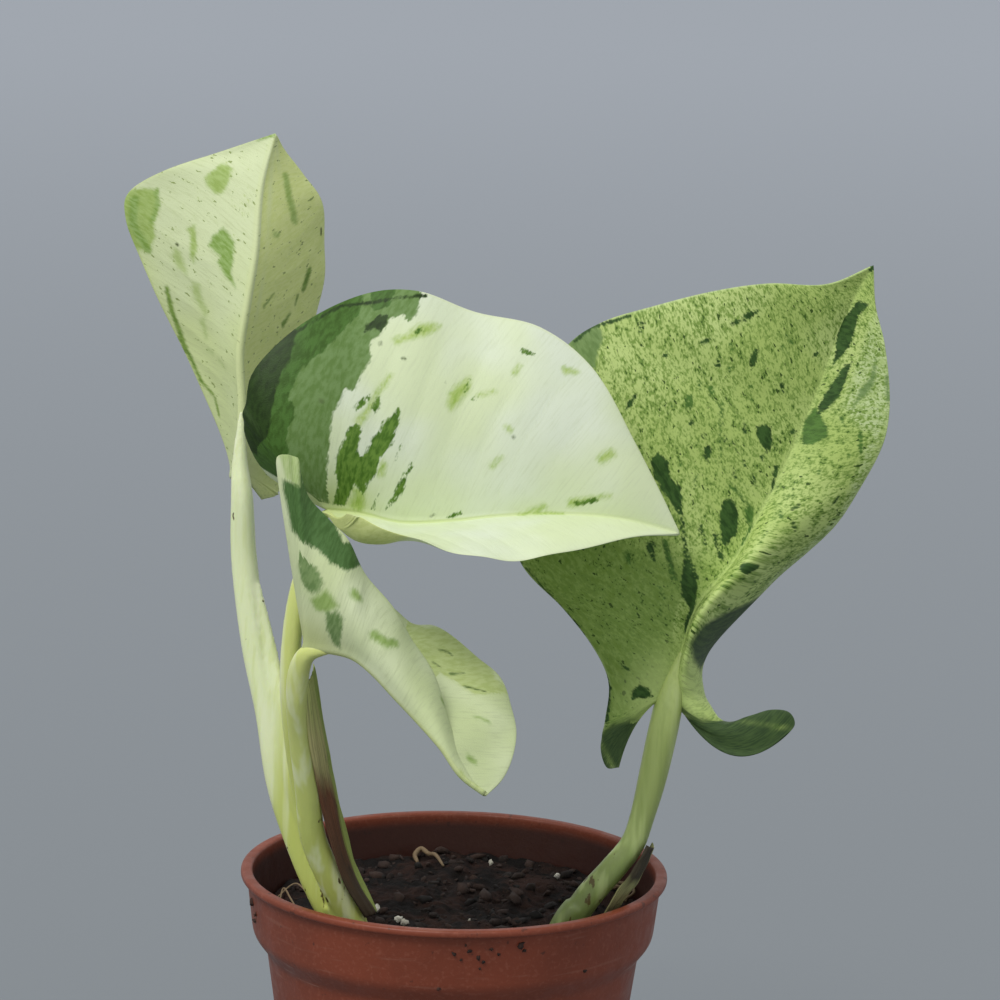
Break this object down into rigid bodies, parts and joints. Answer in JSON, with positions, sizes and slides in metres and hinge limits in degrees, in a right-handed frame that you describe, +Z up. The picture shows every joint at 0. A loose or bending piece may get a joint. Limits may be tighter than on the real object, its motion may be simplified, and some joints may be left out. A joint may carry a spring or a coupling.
{
  "type": "potted happy leaf pothos",
  "caption": "Young variegated aroid house plant: folded heart-shaped leaves, green marbled with cream, on upright petioles in a small round tapered nursery pot of soil.",
  "frame": {"origin": "centre of the pot's underside, on the surface that the pot stands on", "axes": "+Z up; -Y towards the viewer of the picture; +X to the right in the picture"},
  "size_m": [0.1238, 0.0816, 0.1832],
  "materials": {
    "pot_plastic": "satin",
    "soil": "rough",
    "petiole": "satin",
    "leaf": "satin",
    "dry_sheath": "matte"
  },
  "bodies": {
    "root": {"pot": "pot_plastic", "potting_soil": "soil", "left_shoot": "petiole", "right_shoot": "petiole", "leaf_upper_left": "leaf", "leaf_centre": "leaf", "leaf_lower_front": "leaf", "leaf_right": "leaf", "dry_sheath_left": "dry_sheath", "dry_sheath_right": "dry_sheath"}
  },
  "joints": []
}
